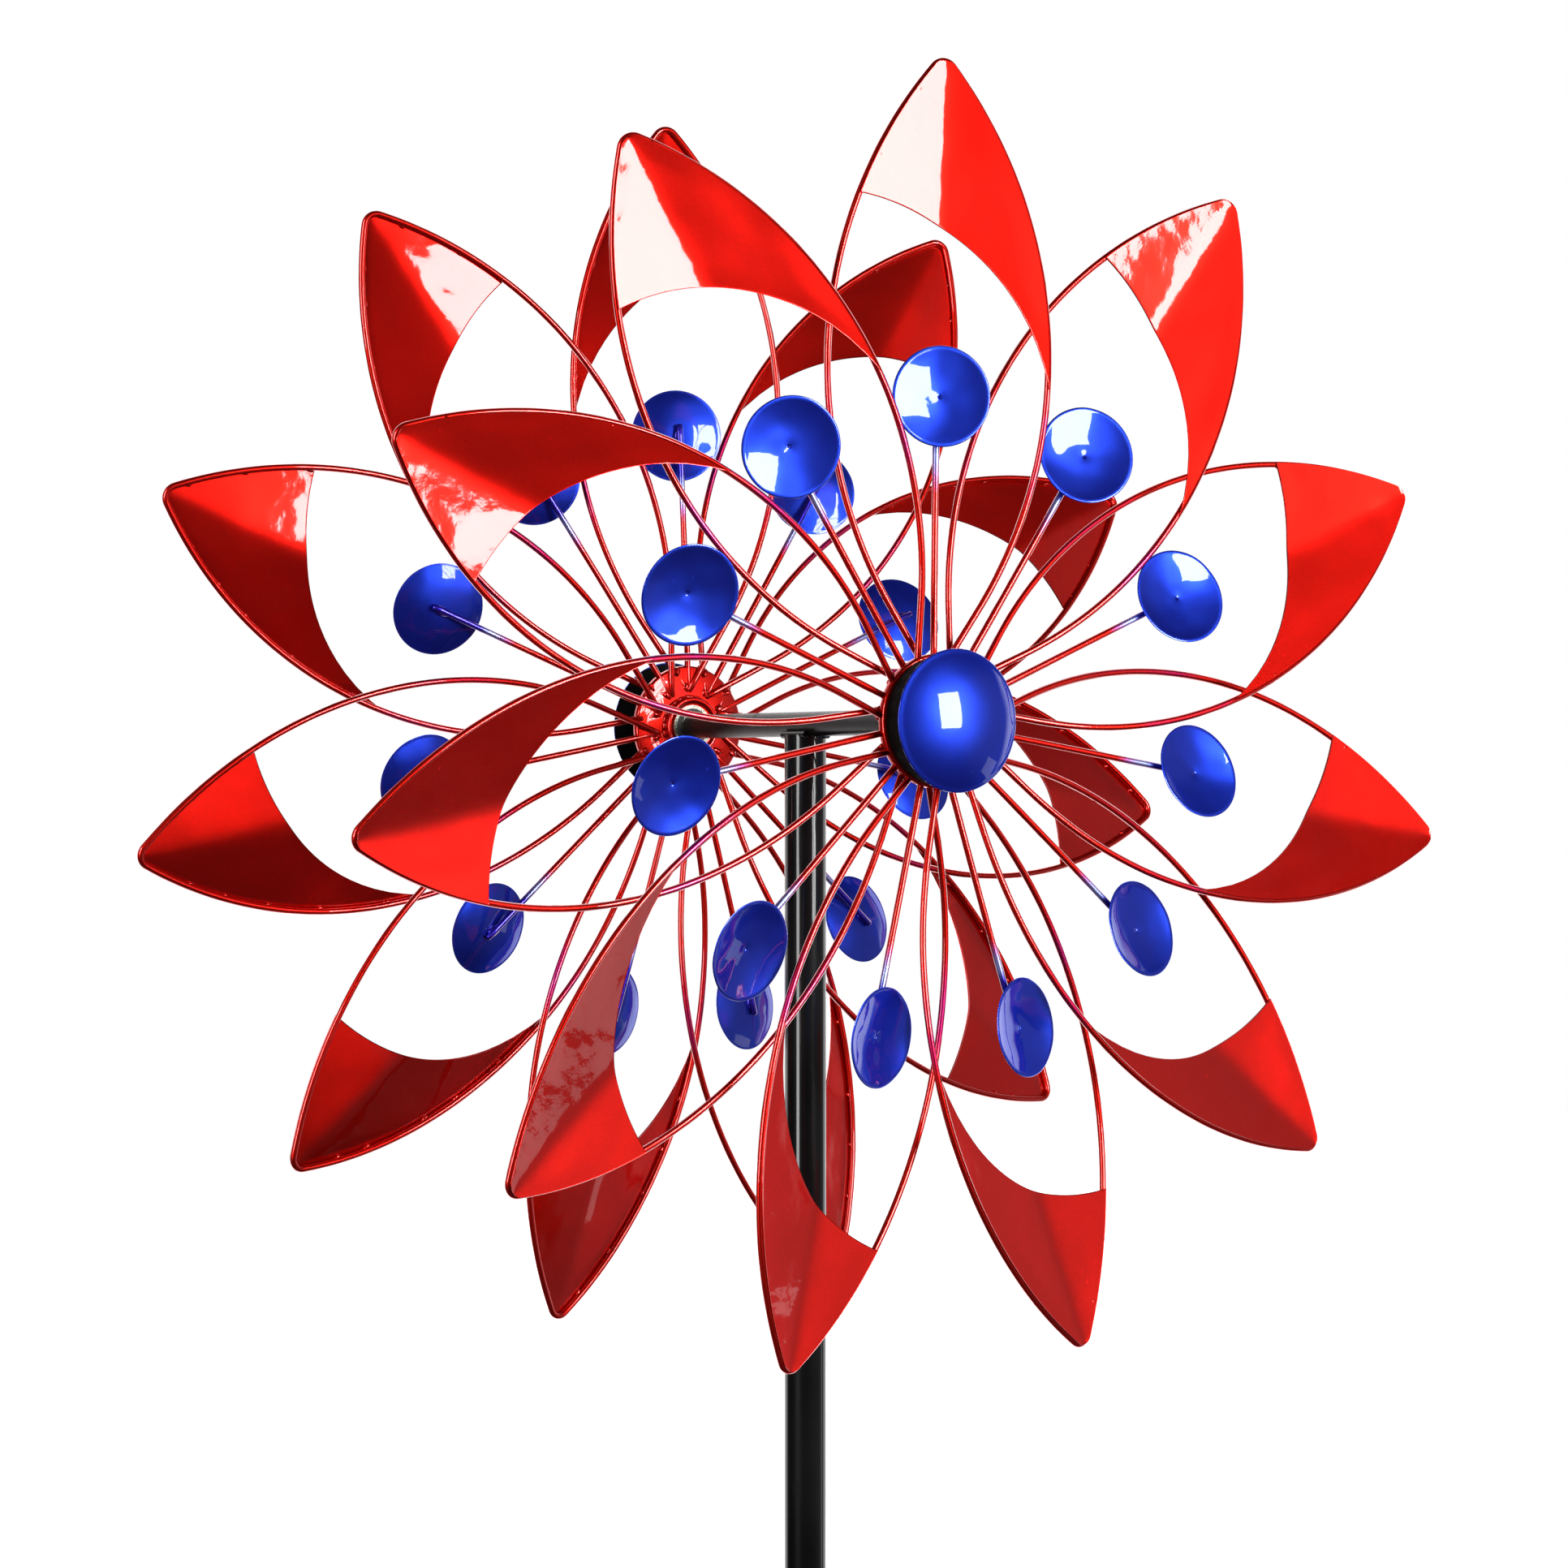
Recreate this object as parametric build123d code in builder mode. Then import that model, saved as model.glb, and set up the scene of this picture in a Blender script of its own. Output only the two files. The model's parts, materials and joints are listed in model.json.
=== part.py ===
from build123d import *
import math
import os

# Twin-rotor wind spinner for the garden: a staked pole with a T-shaped top, whose
# horizontal axle carries two contra-facing petal rotors, each on its own ball bearings.
#
# Row frame: millimetres, +Z up. The origin is on the pole axis at ground level.
# The front rotor faces -Y and the back rotor faces +Y. The back rotor is the same
# part as the front one, turned half a turn about the pole.

# ---- Driving dimensions ----
ROTOR_RADIUS = 305.0        # axle centre to petal tip
PETALS = 11                 # petals on each rotor, each with one disc
AXLE_HEIGHT = 1420.0        # axle centre above the ground
STAKE_DEPTH = 180.0         # prong length below the ground

FRONT_TURN = 0.3            # degrees that the front rotor is turned from its top petal upright
BACK_TURN = 1.9             # the same for the back rotor
DROOP = 2.0                 # degrees that a sideways petal sags on its thin wires

# Petal: a lens of round wire, pitched about its own radius like a windmill blade
WIRE_R = 1.6
PITCH_SLOPE = 0.255         # rise of the trailing side away from the pole
CONE_SLOPE = 0.021          # rise of the tip away from the pole
PETAL_ROOT_AXIAL = 107.6    # petal plane to pole axis, measured along the axle
SIDE_R = 212.0              # bow of each side of the lens
LENS_MID = 165.0            # radius at which the lens is widest
LENS_HALF_WIDTH = 54.3
TIP_R = 6.0
ROOT_U = 24.0               # where the wire ends on the hub plate
STRAIGHT_U = 52.0           # where the bow runs out into a straight leg

# Blade: thin sheet over the outer end of the lens, creased along the petal's middle
SHEET_T = 0.8
BLADE_LAP = 0.3             # sheet edge beyond the wire's centre line
CREASE_SLOPE = 0.158        # slope of each half towards the crease
BLADE_CUT_R = 107.0         # concave inner edge
BLADE_CUT_CENTRE = (134.3, 50.7)
BLADE_SECTIONS = (164.0, 182.0, 200.0, 218.0, 236.0, 254.0, 272.0, 285.0, 294.0)
BLADE_TIP_GAP = 0.6         # sheet end short of the wire's tip
CUTTER_DEPTH = 40.0
WELD_BITE = 0.15            # how far a welded piece sinks into its neighbour

# Disc on its spoke in the middle of each petal
DISC_R = 23.25
DISC_DEPTH = 3.8            # of the dish, open away from the pole
DISC_U = 148.6
DISC_SIDE = 3.2             # offset to the leading side
DISC_AXIAL = 116.0          # back of the dish, at its middle
DISC_SLOPE = 0.36           # pitch of the disc
SPOKE_ROOT_U = 20.0
SPOKE_ROOT_AXIAL = 108.6
SPOKE_GAP = 0.35            # spoke to the back of the dish
SPOKE_OVERRUN = 5.0         # spoke end beyond the middle of the disc
DISC_WELD_R = 2.2

# Hub
PLATE_R = 31.0
PLATE_AXIAL = 107.6
PLATE_T = 4.6
PLATE_EDGE_R = 1.1
COLLAR_R = 15.0
COLLAR_MOUTH_R = 12.85
COLLAR_MOUTH_DEPTH = 1.5
COLLAR_START = 103.0
COLLAR_END = 121.0
DRUM_BASE_R = 29.5          # the drum flares from the plate to the dome
DRUM_R = 32.5
DRUM_WALL = 1.2
DRUM_END = 127.0
DOME_R = 33.0
DOME_RISE = 10.0
DOME_T = 1.0
SKIRT_R = 30.65
SKIRT_DEPTH = 3.0

# Bearings: 10 x 22 x 6 mm deep-groove ball bearings, two in each rotor
BEARING_BORE_R = 5.0
BEARING_R = 11.0
BEARING_W = 6.0
INNER_RACE_R = 6.7
OUTER_RACE_BORE_R = 9.3
BALL_R = 1.5
BALLS = 10
GROOVE_PLAY = 0.05
SEAL_T = 0.35
SEAL_GAP = 0.1
INBOARD_BEARING = 104.5     # pole-side face of each bearing, along the axle
OUTBOARD_BEARING = 114.5

# Axle
AXLE_R = 6.0
STUD_R = 4.0
AXLE_END = 132.0
WASHER_R = 6.4
WASHER_T = 1.2
NUT_FLATS = 13.0
NUT_T = 7.0

# Pole
POLE_R = 10.05
POLE_WALL = 1.3
POLE_CAP_T = 2.0
AXLE_SEAT = 0.8             # how far the axle beds into the pole's top
WELD_R = 1.8
WELD_LENGTH = 8.4
WELD_OFFSET = 6.2           # weld run to pole axis, along the pole's width
POLE_JOINT_HEIGHT = 700.0
PLUG_LENGTH = 110.0
PLUG_WALL = 1.5
PLUG_PLAY = 0.05
SCREW_R = 2.5
SCREW_HEAD_R = 4.6
SCREW_HEAD_H = 2.6
SCREW_EDGE_R = 1.2
SCREW_SHANK = 4.0
SCREW_OFFSET = 25.0         # screw to pole joint

# Ground stake
BAR_LENGTH = 150.0
BAR_WIDTH = 25.0
BAR_T = 4.0
SOCKET_LENGTH = 90.0
PRONG_R = 4.0
PRONG_SPACING = 60.0
PRONG_POINT = 24.0
POINT_TAPER = 8.0           # degrees

FOLD = 360.0 / PETALS
FRONT, BACK = 1, -1
SIDES = {"front": FRONT, "back": BACK}
TURNS = {"front": FRONT_TURN, "back": BACK_TURN}
CIRCLE_DROP = SIDE_R - LENS_HALF_WIDTH
BALL_PITCH_R = (INNER_RACE_R + OUTER_RACE_BORE_R) / 2
os.makedirs("parts", exist_ok=True)


def save(piece, name):
    piece.part.label = name
    export_step(piece.part, f"parts/{name}.step")


def outward(side):
    return Vector(0, -side, 0)


def hub_plane(side, axial):
    """Plane across the axle, facing away from the pole, at a distance along the axle."""
    return Plane(
        origin=(0, -side * axial, AXLE_HEIGHT), x_dir=(side, 0, 0), z_dir=outward(side)
    )


def across_axle(plane):
    """Plane through the axle for half sections: X across it, Y along the given plane's axis."""
    return Plane(plane.origin, x_dir=plane.x_dir, z_dir=-plane.y_dir)


def arm_directions(side, angle):
    """Radial and clockwise directions of a rotor arm, seen from the rotor's own face."""
    s, c = math.sin(math.radians(angle)), math.cos(math.radians(angle))
    return Vector(side * s, 0, c), Vector(side * c, 0, -s)


def arm_angle(turn, k):
    """Angle of arm k from upright, with the sag that its own weight gives it."""
    even = turn + k * FOLD
    return even + DROOP * math.sin(math.radians(even))


def arm_plane(side, angle, axial, slope, cone=0.0):
    """Plane of an arm: X along the arm, Z away from the pole, Y to the leading side."""
    radial, clockwise = arm_directions(side, angle)
    out = outward(side)
    return Plane(
        origin=Vector(0, -side * axial, AXLE_HEIGHT),
        x_dir=radial + out * cone,
        z_dir=out - clockwise * slope - radial * cone,
    )


def petal_plane(side, angle):
    return arm_plane(side, angle, PETAL_ROOT_AXIAL, PITCH_SLOPE, CONE_SLOPE)


def side_y(u):
    """Half width of the lens at radius u."""
    return math.sqrt(SIDE_R**2 - (u - LENS_MID) ** 2) - CIRCLE_DROP


TIP_U = LENS_MID + math.sqrt((SIDE_R - TIP_R) ** 2 - CIRCLE_DROP**2)
TIP_TANGENT_U = LENS_MID + (TIP_U - LENS_MID) * SIDE_R / (SIDE_R - TIP_R)
ROOT_Y = side_y(STRAIGHT_U) - (STRAIGHT_U - ROOT_U) * (LENS_MID - STRAIGHT_U) / (
    side_y(STRAIGHT_U) + CIRCLE_DROP
)


def blade_half_width(u):
    """Half width of the sheet: the lens, then the round of its tip."""
    if u < TIP_TANGENT_U:
        return side_y(u) + BLADE_LAP
    reach = TIP_R + BLADE_LAP
    return math.sqrt(reach**2 - (u - TIP_U) ** 2)


def cap_outline(rim_r, rise, thickness):
    """Half section of a domed sheet cap, standing on its rim, as lines of the open sketch."""
    ball_r = (rim_r**2 + rise**2) / (2 * rise)
    drop = ball_r - rise
    inner_r = ball_r - thickness
    inner_rim = math.sqrt(inner_r**2 - drop**2)
    half_outer = math.asin(rim_r / ball_r) / 2
    half_inner = math.asin(inner_rim / inner_r) / 2
    ThreePointArc(
        (rim_r, 0),
        (ball_r * math.sin(half_outer), ball_r * math.cos(half_outer) - drop),
        (0, rise),
    )
    Line((0, rise), (0, rise - thickness))
    ThreePointArc(
        (0, rise - thickness),
        (inner_r * math.sin(half_inner), inner_r * math.cos(half_inner) - drop),
        (inner_rim, 0),
    )
    Line((inner_rim, 0), (rim_r, 0))


# ---- Petal wires: one closed-tip lens of wire for each petal ----
for name, side in SIDES.items():
    with BuildPart() as petal_wires:
        for k in range(PETALS):
            with BuildLine(petal_plane(side, arm_angle(TURNS[name], k))) as lens:
                Polyline((ROOT_U, ROOT_Y), (STRAIGHT_U, side_y(STRAIGHT_U)))
                ThreePointArc(
                    (STRAIGHT_U, side_y(STRAIGHT_U)),
                    (LENS_MID, LENS_HALF_WIDTH),
                    (TIP_TANGENT_U, side_y(TIP_TANGENT_U)),
                )
                ThreePointArc(
                    (TIP_TANGENT_U, side_y(TIP_TANGENT_U)),
                    (TIP_U + TIP_R, 0),
                    (TIP_TANGENT_U, -side_y(TIP_TANGENT_U)),
                )
                ThreePointArc(
                    (TIP_TANGENT_U, -side_y(TIP_TANGENT_U)),
                    (LENS_MID, -LENS_HALF_WIDTH),
                    (STRAIGHT_U, -side_y(STRAIGHT_U)),
                )
                Polyline((STRAIGHT_U, -side_y(STRAIGHT_U)), (ROOT_U, -ROOT_Y))
            with BuildSketch(Plane(lens.line @ 0, z_dir=lens.line % 0)):
                Circle(WIRE_R)
            sweep(path=lens.line)
    save(petal_wires, f"petal_wires_{name}")

# ---- Blades: creased sheet welded to the outer face of each lens ----
EDGE_Z = WIRE_R - WELD_BITE
TIP_SECTIONS = (TIP_TANGENT_U, TIP_U + TIP_R - BLADE_TIP_GAP)
for name, side in SIDES.items():
    for k in range(PETALS):
        plane = petal_plane(side, arm_angle(TURNS[name], k))
        with BuildPart() as blade:
            for u in BLADE_SECTIONS + TIP_SECTIONS:
                half = blade_half_width(u)
                valley = EDGE_Z - CREASE_SLOPE * half
                station = Plane(
                    origin=plane.from_local_coords(Vector(u, 0, 0)),
                    x_dir=plane.y_dir,
                    z_dir=plane.x_dir,
                )
                with BuildSketch(station):
                    Polygon(
                        (-half, EDGE_Z), (0, valley), (half, EDGE_Z),
                        (half, EDGE_Z + SHEET_T), (0, valley + SHEET_T),
                        (-half, EDGE_Z + SHEET_T),
                        align=None,
                    )
            loft(ruled=True)
            with BuildSketch(plane):
                with Locations(BLADE_CUT_CENTRE):
                    Circle(BLADE_CUT_R)
            extrude(amount=CUTTER_DEPTH, both=True, mode=Mode.SUBTRACT)
        save(blade, f"blade_{name}_{k + 1:02d}")

# ---- Spokes and discs ----
spoke_axial = DISC_AXIAL - WIRE_R - SPOKE_GAP
spoke_end_axial = spoke_axial + SPOKE_OVERRUN * (spoke_axial - SPOKE_ROOT_AXIAL) / (
    DISC_U - SPOKE_ROOT_U
)
spoke_angle = math.degrees(math.asin(DISC_SIDE / DISC_U))
for name, side in SIDES.items():
    with BuildPart() as spokes:
        for k in range(PETALS):
            arm = arm_plane(side, arm_angle(TURNS[name], k) - spoke_angle, 0, 0)
            root = arm.from_local_coords(Vector(SPOKE_ROOT_U, 0, SPOKE_ROOT_AXIAL))
            end = arm.from_local_coords(Vector(DISC_U + SPOKE_OVERRUN, 0, spoke_end_axial))
            with BuildSketch(Plane(root, z_dir=end - root)):
                Circle(WIRE_R)
            extrude(amount=(end - root).length)
            # weld post between the spoke and the back of the dish
            post = arm.from_local_coords(Vector(DISC_U, 0, spoke_axial))
            back = arm_plane(side, arm_angle(TURNS[name], k) - spoke_angle, 0, DISC_SLOPE).z_dir
            with BuildSketch(Plane(post, z_dir=back)):
                Circle(DISC_WELD_R)
            extrude(amount=(DISC_AXIAL - spoke_axial) * back.dot(outward(side)) + WELD_BITE)
    save(spokes, f"spokes_{name}")

    with BuildPart() as discs:
        for k in range(PETALS):
            angle = arm_angle(TURNS[name], k) - spoke_angle
            arm = arm_plane(side, angle, DISC_AXIAL, 0)
            tilted = arm_plane(side, angle, DISC_AXIAL, DISC_SLOPE)
            centre = arm.from_local_coords(Vector(DISC_U, 0, 0))
            rim_centre = centre + tilted.z_dir * DISC_DEPTH
            section = Plane(rim_centre, x_dir=tilted.x_dir, z_dir=tilted.y_dir)
            with BuildSketch(section):
                with BuildLine():
                    cap_outline(DISC_R, DISC_DEPTH, SHEET_T)
                make_face()
            revolve(axis=Axis(centre, tilted.z_dir), revolution_arc=360)
    save(discs, f"discs_{name}")

# ---- Hub: plate, bearing collar, black drum and domed cap ----
for name, side in SIDES.items():
    with BuildPart() as hub_plate:
        with BuildSketch(hub_plane(side, PLATE_AXIAL)):
            Circle(PLATE_R)
            Circle(COLLAR_R, mode=Mode.SUBTRACT)
        extrude(amount=PLATE_T)
        rims = hub_plate.edges().filter_by(GeomType.CIRCLE).sort_by(SortBy.RADIUS)[-2:]
        fillet(rims, PLATE_EDGE_R)
    save(hub_plate, f"hub_plate_{name}")

    with BuildPart() as collar:
        with BuildSketch(hub_plane(side, COLLAR_START)):
            Circle(COLLAR_R)
            Circle(BEARING_R, mode=Mode.SUBTRACT)
        extrude(amount=COLLAR_END - COLLAR_START)
        with BuildSketch(hub_plane(side, COLLAR_START)):
            Circle(COLLAR_MOUTH_R)
        extrude(amount=COLLAR_MOUTH_DEPTH, mode=Mode.SUBTRACT)
    save(collar, f"bearing_collar_{name}")

    drum_start = PLATE_AXIAL + PLATE_T
    drum_plane = hub_plane(side, drum_start)
    height = DRUM_END - drum_start
    with BuildPart() as drum:
        with BuildSketch(across_axle(drum_plane)):
            Polygon(
                (COLLAR_R, 0), (DRUM_BASE_R, 0), (DRUM_R, height), (DRUM_R - DRUM_WALL, height),
                (DRUM_BASE_R - DRUM_WALL, DRUM_WALL), (COLLAR_R, DRUM_WALL),
                align=None,
            )
        revolve(axis=Axis(drum_plane.origin, drum_plane.z_dir), revolution_arc=360)
    save(drum, f"hub_drum_{name}")

    cap_plane = hub_plane(side, DRUM_END)
    with BuildPart() as dome:
        with BuildSketch(across_axle(cap_plane)):
            with BuildLine():
                cap_outline(DOME_R, DOME_RISE, DOME_T)
            make_face()
        revolve(axis=Axis(cap_plane.origin, cap_plane.z_dir), revolution_arc=360)
        with BuildSketch(hub_plane(side, DRUM_END - SKIRT_DEPTH)):
            Circle(SKIRT_R)
            Circle(SKIRT_R - DOME_T, mode=Mode.SUBTRACT)
        extrude(amount=SKIRT_DEPTH + DOME_T)
    save(dome, f"dome_cap_{name}")


def ring(plane, outer, inner, width):
    """Flat ring of the open part."""
    with BuildSketch(plane) as flat:
        Circle(outer)
        Circle(inner, mode=Mode.SUBTRACT)
    extrude(flat.sketch, amount=width)


def groove(plane, axial_offset, radius):
    """Ball groove cut round the plane's own axis."""
    with BuildSketch(across_axle(plane)) as ball:
        with Locations((BALL_PITCH_R, axial_offset)):
            Circle(radius)
    revolve(ball.sketch, axis=Axis(plane.origin, plane.z_dir), revolution_arc=360, mode=Mode.SUBTRACT)


# ---- Ball bearings, two in each rotor: races, balls and seals ----
for name, side in SIDES.items():
    with BuildPart() as outer_races:
        for start in (INBOARD_BEARING, OUTBOARD_BEARING):
            face = hub_plane(side, start)
            ring(face, BEARING_R, OUTER_RACE_BORE_R, BEARING_W)
            groove(face, BEARING_W / 2, BALL_R)
    save(outer_races, f"bearing_outer_races_{name}")

    with BuildPart() as inner_races:
        for start in (INBOARD_BEARING, OUTBOARD_BEARING):
            face = hub_plane(side, start)
            ring(face, INNER_RACE_R, BEARING_BORE_R, BEARING_W)
            groove(face, BEARING_W / 2, BALL_R + GROOVE_PLAY)
    save(inner_races, f"bearing_inner_races_{name}")

    with BuildPart() as balls:
        for start in (INBOARD_BEARING, OUTBOARD_BEARING):
            with Locations(hub_plane(side, start + BEARING_W / 2)):
                with PolarLocations(BALL_PITCH_R, BALLS):
                    Sphere(BALL_R)
    save(balls, f"bearing_balls_{name}")

    with BuildPart() as seals:
        for start in (INBOARD_BEARING, OUTBOARD_BEARING):
            for inset in (0, BEARING_W - SEAL_T):
                face = hub_plane(side, start + inset)
                ring(face, OUTER_RACE_BORE_R, INNER_RACE_R + SEAL_GAP, SEAL_T)
    save(seals, f"bearing_seals_{name}")

    with BuildPart() as spacer:
        gap_start = INBOARD_BEARING + BEARING_W
        ring(hub_plane(side, gap_start), INNER_RACE_R, BEARING_BORE_R, OUTBOARD_BEARING - gap_start)
    save(spacer, f"bearing_spacer_{name}")

    washer_start = OUTBOARD_BEARING + BEARING_W
    with BuildPart() as washer:
        ring(hub_plane(side, washer_start), WASHER_R, STUD_R, WASHER_T)
    save(washer, f"axle_washer_{name}")

    with BuildPart() as nut:
        nut_face = hub_plane(side, washer_start + WASHER_T)
        with BuildSketch(nut_face):
            RegularPolygon(NUT_FLATS / 2, 6, major_radius=False)
            Circle(STUD_R, mode=Mode.SUBTRACT)
        extrude(amount=NUT_T)
    save(nut, f"lock_nut_{name}")

# ---- Axle: one bar through both rotors, shouldered for the bearings ----
with BuildPart() as axle:
    with BuildSketch(hub_plane(FRONT, -AXLE_END)):
        Circle(STUD_R)
    extrude(amount=2 * AXLE_END)
    journal_end = OUTBOARD_BEARING + BEARING_W
    with BuildSketch(hub_plane(FRONT, -journal_end)):
        Circle(BEARING_BORE_R)
    extrude(amount=2 * journal_end)
    with BuildSketch(hub_plane(FRONT, -INBOARD_BEARING)):
        Circle(AXLE_R)
    extrude(amount=2 * INBOARD_BEARING)
save(axle, "axle")

# ---- Pole: two tubes on a plug, with the axle welded across the top ----
POLE_TOP = AXLE_HEIGHT - AXLE_R + AXLE_SEAT
POLE_BORE_R = POLE_R - POLE_WALL
PLUG_R = POLE_BORE_R - PLUG_PLAY
JOINT_SCREWS = (POLE_JOINT_HEIGHT + SCREW_OFFSET, POLE_JOINT_HEIGHT - SCREW_OFFSET)
BASE_SCREW = BAR_T + SOCKET_LENGTH / 2


def tube(bottom, top, outer, inner):
    ring(Plane.XY.offset(bottom), outer, inner, top - bottom)


def screw_hole(height):
    """Hole for a screw through the side facing -Y."""
    with BuildSketch(Plane.XZ.shift_origin((0, 0, height))) as hole:
        Circle(SCREW_R)
    extrude(hole.sketch, amount=POLE_R * 2, mode=Mode.SUBTRACT)


with BuildPart() as upper_pole:
    tube(POLE_JOINT_HEIGHT, POLE_TOP - POLE_CAP_T, POLE_R, POLE_BORE_R)
    with BuildSketch(Plane.XY.offset(POLE_TOP - POLE_CAP_T)):
        Circle(POLE_R)
    extrude(amount=POLE_CAP_T)
    with BuildSketch(hub_plane(FRONT, -POLE_R * 2)):
        Circle(AXLE_R)
    extrude(amount=POLE_R * 4, mode=Mode.SUBTRACT)
    screw_hole(JOINT_SCREWS[0])
save(upper_pole, "upper_pole")

with BuildPart() as lower_pole:
    tube(BAR_T, POLE_JOINT_HEIGHT, POLE_R, POLE_BORE_R)
    screw_hole(JOINT_SCREWS[1])
    screw_hole(BASE_SCREW)
save(lower_pole, "lower_pole")

with BuildPart() as pole_plug:
    half = PLUG_LENGTH / 2
    tube(POLE_JOINT_HEIGHT - half, POLE_JOINT_HEIGHT + half, PLUG_R, PLUG_R - PLUG_WALL)
    for height in JOINT_SCREWS:
        screw_hole(height)
save(pole_plug, "pole_joint_plug")

with BuildPart() as axle_weld:
    with Locations((0, POLE_R, POLE_TOP), (0, -POLE_R, POLE_TOP)):
        Box(WELD_LENGTH, WELD_R, WELD_R)
    with BuildSketch(Plane.XZ.offset(-POLE_R)):
        with Locations((WELD_OFFSET, POLE_TOP), (-WELD_OFFSET, POLE_TOP)):
            Circle(WELD_R)
    extrude(amount=2 * POLE_R)
save(axle_weld, "axle_weld")

with BuildPart() as pole_screws:
    for height in (*JOINT_SCREWS, BASE_SCREW):
        seat = Plane.XZ.offset(POLE_R).shift_origin((0, -POLE_R, height))
        with BuildSketch(seat):
            Circle(SCREW_R)
        extrude(amount=-SCREW_SHANK)
        with BuildSketch(seat):
            Circle(SCREW_HEAD_R)
        extrude(amount=SCREW_HEAD_H)
        fillet(pole_screws.edges().group_by(Axis.Y)[0], SCREW_EDGE_R)
save(pole_screws, "pole_screws")

# ---- Ground stake: step bar, socket for the pole and three prongs ----
with BuildPart() as stake_bar:
    with BuildSketch():
        SlotOverall(BAR_LENGTH, BAR_WIDTH)
    extrude(amount=BAR_T)
save(stake_bar, "stake_bar")

with BuildPart() as stake_socket:
    tube(BAR_T, BAR_T + SOCKET_LENGTH, PLUG_R, PLUG_R - PLUG_WALL)
    screw_hole(BASE_SCREW)
save(stake_socket, "stake_socket")

with BuildPart() as stake_prongs:
    for x in (-PRONG_SPACING, 0, PRONG_SPACING):
        with BuildSketch(Plane((x, 0, 0))):
            Circle(PRONG_R)
        extrude(amount=PRONG_POINT - STAKE_DEPTH)
        with BuildSketch(Plane((x, 0, PRONG_POINT - STAKE_DEPTH), z_dir=(0, 0, -1))):
            Circle(PRONG_R)
        extrude(amount=PRONG_POINT, taper=POINT_TAPER)
save(stake_prongs, "stake_prongs")
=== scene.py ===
import json
import math
import random

import bpy
from mathutils import Matrix, Vector, noise


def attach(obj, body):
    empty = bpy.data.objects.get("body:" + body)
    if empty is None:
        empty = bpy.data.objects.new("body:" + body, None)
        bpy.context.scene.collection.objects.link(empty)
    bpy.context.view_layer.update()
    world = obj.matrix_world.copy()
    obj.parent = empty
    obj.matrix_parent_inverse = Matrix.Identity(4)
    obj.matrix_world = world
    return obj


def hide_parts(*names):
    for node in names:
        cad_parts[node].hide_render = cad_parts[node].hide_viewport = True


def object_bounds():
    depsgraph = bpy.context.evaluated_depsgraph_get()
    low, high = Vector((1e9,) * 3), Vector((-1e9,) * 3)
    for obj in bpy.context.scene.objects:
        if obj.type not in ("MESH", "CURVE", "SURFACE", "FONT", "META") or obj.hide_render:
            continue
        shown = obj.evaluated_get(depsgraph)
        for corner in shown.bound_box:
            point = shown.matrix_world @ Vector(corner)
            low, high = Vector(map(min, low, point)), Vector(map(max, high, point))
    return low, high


# Twin-rotor wind spinner: candy red wire petals, blue discs, black pole.
# Shapes are worked out in millimetres, as in the CAD part, and scaled to metres on the mesh.

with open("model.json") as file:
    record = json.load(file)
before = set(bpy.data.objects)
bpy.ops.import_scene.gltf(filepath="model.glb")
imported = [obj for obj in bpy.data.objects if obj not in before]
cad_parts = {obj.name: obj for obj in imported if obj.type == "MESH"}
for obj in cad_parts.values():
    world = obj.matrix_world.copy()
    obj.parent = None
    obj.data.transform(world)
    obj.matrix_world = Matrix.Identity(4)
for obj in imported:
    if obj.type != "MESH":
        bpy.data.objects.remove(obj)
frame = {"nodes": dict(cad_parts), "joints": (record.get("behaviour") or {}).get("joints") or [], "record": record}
cad_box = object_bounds()

# ---- Driving dimensions, millimetres ----
MM = 0.001
JOINTS = {joint["name"]: joint for joint in frame["joints"]}
AXLE_HEIGHT = JOINTS["front_spin"]["pos_m"][2] / MM
PETALS = 11
FOLD = 360.0 / PETALS
SIDES = {"front": 1, "back": -1}
TURNS = {"front": 0.3, "back": 1.9}  # degrees from upright at rest
DROOP = 2.0  # degrees that a sideways petal sags

# Petal
WIRE_R = 1.6
PITCH_SLOPE = 0.255  # rise of the trailing side away from the pole
CONE_SLOPE = 0.021  # rise of the tip away from the pole
PETAL_ROOT_AXIAL = 107.6
SIDE_R = 212.0  # bow of each side
LENS_MID = 165.0  # radius where it is widest
LENS_HALF_WIDTH = 54.3
TIP_R = 6.0
ROOT_U = 24.0
STRAIGHT_U = 52.0  # where the bow runs out into a straight leg
WELD_U = 18.5
SHEET_T = 0.8
BLADE_LAP = 0.3
CREASE_SLOPE = 0.158
CREASE_SOFTNESS = 3.5
BLADE_CUT_R = 107.0
BLADE_CUT_CENTRE = (134.3, 50.7)

# Disc and spoke
DISC_R = 23.25
DISC_DEPTH = 3.8  # of the dish, open away from the pole
DISC_U = 148.6
DISC_SIDE = 3.2
DISC_AXIAL = 116.0
DISC_SLOPE = 0.36
SPOKE_ROOT_U = 20.0
SPOKE_ROOT_AXIAL = 108.6
SPOKE_GAP = 0.35
SPOKE_OVERRUN = 5.0

# Hub
PLATE_R = 31.0
PLATE_AXIAL = 107.6
PLATE_T = 4.6
PLATE_EDGE = 1.1
COLLAR_R = 15.0
COLLAR_MOUTH_R = 12.85
COLLAR_MOUTH_DEPTH = 1.5
COLLAR_START = 103.0
COLLAR_END = 121.0
BEARING_R = 11.0
BEARING_PLAY = 0.02
DRUM_BASE_R = 29.5
DRUM_R = 32.5
DRUM_WALL = 1.2
DRUM_LIP = 0.05  # dome to drum
DRUM_END = 127.0
DOME_R = 33.0
DOME_RISE = 10.0
DOME_T = 1.0

CIRCLE_DROP = SIDE_R - LENS_HALF_WIDTH


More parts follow.
